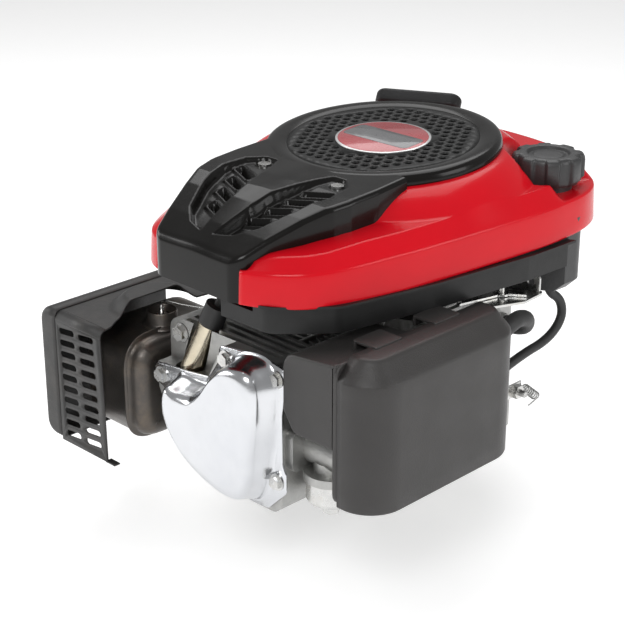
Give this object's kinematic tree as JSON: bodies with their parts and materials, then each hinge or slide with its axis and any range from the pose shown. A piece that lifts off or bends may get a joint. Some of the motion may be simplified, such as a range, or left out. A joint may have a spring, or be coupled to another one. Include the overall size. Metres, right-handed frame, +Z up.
{
  "type": "small vertical-shaft gasoline engine",
  "caption": "Small single-cylinder overhead-valve gasoline engine with a vertical output shaft, recoil starter, fuel tank, muffler and air filter.",
  "frame": {"origin": "crankshaft axis, in the face that rests on the deck", "axes": "+Z up along the crankshaft, away from the output end; the cylinder points to -Y; the intake side is +X and the muffler side is -X"},
  "size_m": [0.353, 0.4104, 0.3317],
  "materials": {
    "red_paint": "gloss enamel",
    "gloss_black": "gloss",
    "black_steel": "semi-gloss enamel",
    "heat_black": "matte heat paint",
    "matte_black": "matte",
    "filter_plastic": "fine texture",
    "tank_plastic": "satin",
    "black_rubber": "matte",
    "nylon": "satin",
    "filter_foam": "porous",
    "rope": "braided",
    "cast_aluminium": "as cast",
    "bright_zinc": "bright plated",
    "zinc_steel": "zinc plated",
    "machined_steel": "machined",
    "cast_steel": "as cast",
    "muffler_steel": "heat tinted",
    "plug_steel": "yellow passivated"
  },
  "bodies": {
    "root": {"blower_base": "black_steel", "blower_shroud": "red_paint", "breather_hose": "black_rubber", "carburetor": "cast_aluminium", "control_bracket": "zinc_steel", "cover_screws": "zinc_steel", "crankcase": "cast_aluminium", "cylinder_head": "cast_aluminium", "exhaust_spring": "machined_steel", "filter_base": "filter_plastic", "filter_element": "filter_foam", "flange_bolts": "zinc_steel", "float_bowl": "zinc_steel", "fuel_hose": "black_rubber", "fuel_tank": "tank_plastic", "governor_spring": "machined_steel", "grille": "black_steel", "guard_front": "heat_black", "guard_shell": "heat_black", "head_bolts": "zinc_steel", "ignition_coil": "matte_black", "ignition_lead": "black_rubber", "intake_spring": "machined_steel", "main_bearing": "machined_steel", "muffler": "muffler_steel", "plug_boot": "black_rubber", "plug_shield": "plug_steel", "recoil_housing": "black_steel", "rocker_shaft": "machined_steel", "spark_plug": "machined_steel", "sump_cover": "cast_aluminium", "top_cover": "gloss_black", "valve_cover": "bright_zinc", "valve_cover_bolts": "zinc_steel"},
    "crank": {"crankshaft": "machined_steel", "flywheel": "cast_steel", "flywheel_nut": "zinc_steel", "starter_cup": "machined_steel"},
    "cam": {"camshaft": "cast_steel"},
    "governor": {"governor_gear": "nylon"},
    "piston": {"piston": "cast_aluminium", "piston_rings": "cast_steel", "wrist_pin": "machined_steel"},
    "intake_pushrod": {"intake_pushrod": "machined_steel"},
    "exhaust_pushrod": {"exhaust_pushrod": "machined_steel"},
    "intake_rocker": {"intake_rocker": "machined_steel"},
    "exhaust_rocker": {"exhaust_rocker": "machined_steel"},
    "intake_valve": {"intake_valve": "machined_steel"},
    "exhaust_valve": {"exhaust_valve": "machined_steel"},
    "pulley": {"recoil_pulley": "matte_black"},
    "starter_grip": {"starter_grip": "matte_black", "starter_rope": "rope"},
    "fuel_cap": {"fuel_cap": "matte_black"},
    "dipstick": {"dipstick": "matte_black"},
    "filter_cover": {"filter_cover": "filter_plastic"},
    "throttle": {"throttle_shaft": "zinc_steel"},
    "choke": {"choke_shaft": "zinc_steel"},
    "governor_arm": {"governor_arm": "zinc_steel"},
    "governor_link": {"governor_link": "machined_steel"},
    "control_lever": {"control_lever": "zinc_steel"}
  },
  "joints": [
    {"name": "crank_turn", "type": "hinge", "parent": "root", "child": "crank", "pos_m": [0, 0, 0.1], "axis": [0, 0, 1], "continuous": true},
    {"name": "cam_turn", "type": "hinge", "parent": "root", "child": "cam", "pos_m": [0.0525, 0, 0.08], "axis": [0, 0, 1], "continuous": true},
    {"name": "governor_turn", "type": "hinge", "parent": "root", "child": "governor", "pos_m": [0.028, 0.04244, 0.045], "axis": [0, 0, 1], "continuous": true},
    {"name": "piston_travel", "type": "slide", "parent": "root", "child": "piston", "axis": [0, 1, 0], "range_m": [0, 0.051]},
    {"name": "intake_lift", "type": "slide", "parent": "root", "child": "intake_pushrod", "axis": [0, -1, 0], "range_m": [0, 0.0038]},
    {"name": "intake_rock", "type": "hinge", "parent": "root", "child": "intake_rocker", "pos_m": [0.033, -0.207, 0.058], "axis": [0, 0, -1], "range_deg": [0, 11.3]},
    {"name": "intake_open", "type": "slide", "parent": "root", "child": "intake_valve", "axis": [0, 1, 0], "range_m": [0, 0.00415]},
    {"name": "exhaust_lift", "type": "slide", "parent": "root", "child": "exhaust_pushrod", "axis": [0, -1, 0], "range_m": [0, 0.0038]},
    {"name": "exhaust_rock", "type": "hinge", "parent": "root", "child": "exhaust_rocker", "pos_m": [0.033, -0.207, 0.082], "axis": [0, 0, -1], "range_deg": [0, 11.3]},
    {"name": "exhaust_open", "type": "slide", "parent": "root", "child": "exhaust_valve", "axis": [0, 1, 0], "range_m": [0, 0.00415]},
    {"name": "grip_pull", "type": "slide", "parent": "root", "child": "starter_grip", "axis": [-0.3315, 0.6506, 0.6832], "range_m": [0, 0.6], "stiffness_N_per_m": 15, "springref_m": -0.5},
    {"name": "pulley_turn", "type": "hinge", "parent": "root", "child": "pulley", "pos_m": [0, 0, 0.23], "axis": [0, 0, 1], "range_deg": [0, 770]},
    {"name": "cap_lift", "type": "slide", "parent": "root", "child": "fuel_cap", "axis": [0, 0, 1], "range_m": [0, 0.06]},
    {"name": "dipstick_draw", "type": "slide", "parent": "root", "child": "dipstick", "axis": [-0.6392, 0, 0.769], "range_m": [0, 0.08]},
    {"name": "filter_open", "type": "slide", "parent": "root", "child": "filter_cover", "axis": [1, 0, 0], "range_m": [0, 0.06]},
    {"name": "governor_swing", "type": "hinge", "parent": "root", "child": "governor_arm", "pos_m": [0.1, 0.02, 0.056], "axis": [1, 0, 0], "range_deg": [0, 9.8]},
    {"name": "link_travel", "type": "slide", "parent": "root", "child": "governor_link", "axis": [0, -1, 0], "range_m": [0, 0.0162]},
    {"name": "throttle_turn", "type": "hinge", "parent": "root", "child": "throttle", "pos_m": [0.096, -0.165, 0.07], "axis": [0, 0, 1], "range_deg": [0, 70.5]},
    {"name": "choke_turn", "type": "hinge", "parent": "root", "child": "choke", "pos_m": [0.118, -0.165, 0.07], "axis": [0, 0, -1], "range_deg": [0, 75]},
    {"name": "control_turn", "type": "hinge", "parent": "root", "child": "control_lever", "pos_m": [0.116, 0.018, 0.1494], "axis": [0, 0, 1], "range_deg": [0, 15]}
  ],
  "couplings": [
    {"joint": "cam_turn", "follows": "crank_turn", "ratio": -0.5},
    {"joint": "governor_turn", "follows": "crank_turn", "ratio": 1.25},
    {"joint": "intake_rock", "follows": "intake_lift", "rad_per_m": 51.282},
    {"joint": "intake_open", "follows": "intake_lift", "ratio": 1.0769},
    {"joint": "exhaust_rock", "follows": "exhaust_lift", "rad_per_m": 51.282},
    {"joint": "exhaust_open", "follows": "exhaust_lift", "ratio": 1.0769},
    {"joint": "pulley_turn", "follows": "grip_pull", "rad_per_m": 22.2},
    {"joint": "link_travel", "follows": "governor_swing", "m_per_rad": 0.094},
    {"joint": "throttle_turn", "follows": "governor_swing", "ratio": 7.15}
  ]
}
